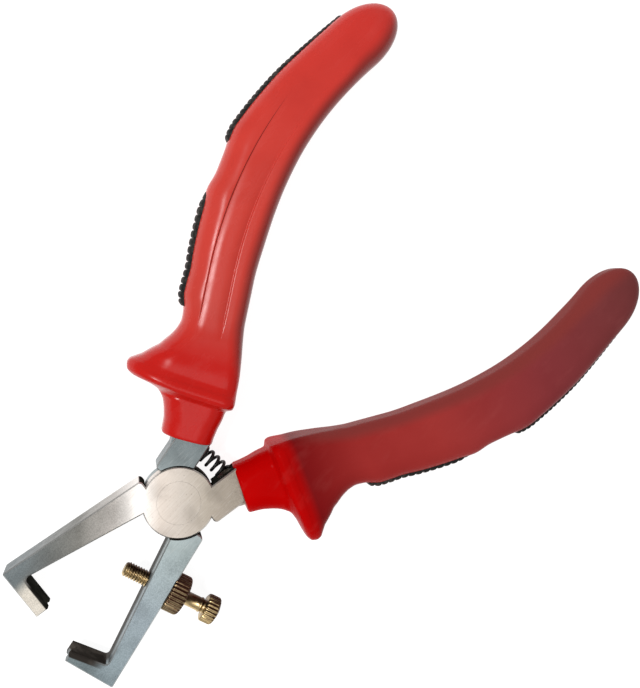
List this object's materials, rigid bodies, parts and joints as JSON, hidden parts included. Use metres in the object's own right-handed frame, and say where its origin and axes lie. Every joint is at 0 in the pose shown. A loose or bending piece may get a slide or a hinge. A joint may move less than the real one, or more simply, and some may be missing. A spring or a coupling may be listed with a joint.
{
  "type": "wire stripper",
  "caption": "End-type wire stripper with lapped jaws, hooked notched blades, a return spring, a brass adjusting screw with lock nut, and red guarded grips with ribbed black inserts.",
  "frame": {"origin": "on the pivot axis, at the flat back face of the head", "axes": "+Z along the pivot towards the front face, +Y towards the handles, so the jaws point along -Y, and +X to the right as seen from the front"},
  "size_m": [0.1104, 0.1657, 0.0174],
  "materials": {
    "front_steel": "ground steel, warm grey",
    "rear_steel": "satin steel, cool grey",
    "rivet_steel": "ground flush with the head",
    "spring_steel": "black oxide",
    "screw_brass": "turned and knurled, dull",
    "nut_brass": "turned and knurled, dull",
    "front_grip_red": "soft gloss",
    "rear_grip_red": "soft gloss",
    "insert_black": "matt, ribbed"
  },
  "bodies": {
    "front_half": {"front_jaw_half": "front_steel", "front_grip_sleeve": "front_grip_red", "front_lower_grip_insert": "insert_black", "front_upper_grip_insert": "insert_black", "return_spring": "spring_steel"},
    "rear_half": {"rear_jaw_half": "rear_steel", "rear_grip_sleeve": "rear_grip_red", "rear_lower_grip_insert": "insert_black", "rear_upper_grip_insert": "insert_black", "pivot_rivet": "rivet_steel"},
    "screw": {"adjusting_screw": "screw_brass"},
    "nut": {"lock_nut": "nut_brass"}
  },
  "joints": [
    {"name": "jaw_hinge", "type": "hinge", "parent": "front_half", "child": "rear_half", "pos_m": [0, 0, 0.004], "axis": [0, 0, -1], "range_deg": [0, 20], "stiffness_Nm_per_rad": 0.3, "deforming": ["return_spring"]},
    {"name": "screw_feed", "type": "slide", "parent": "rear_half", "child": "screw", "axis": [-0.9654, -0.2606, 0], "range_m": [-0.0058, 0.0024]},
    {"name": "nut_slack", "type": "slide", "parent": "rear_half", "child": "nut", "axis": [0.9654, 0.2606, 0], "range_m": [0, 0.0025]}
  ]
}
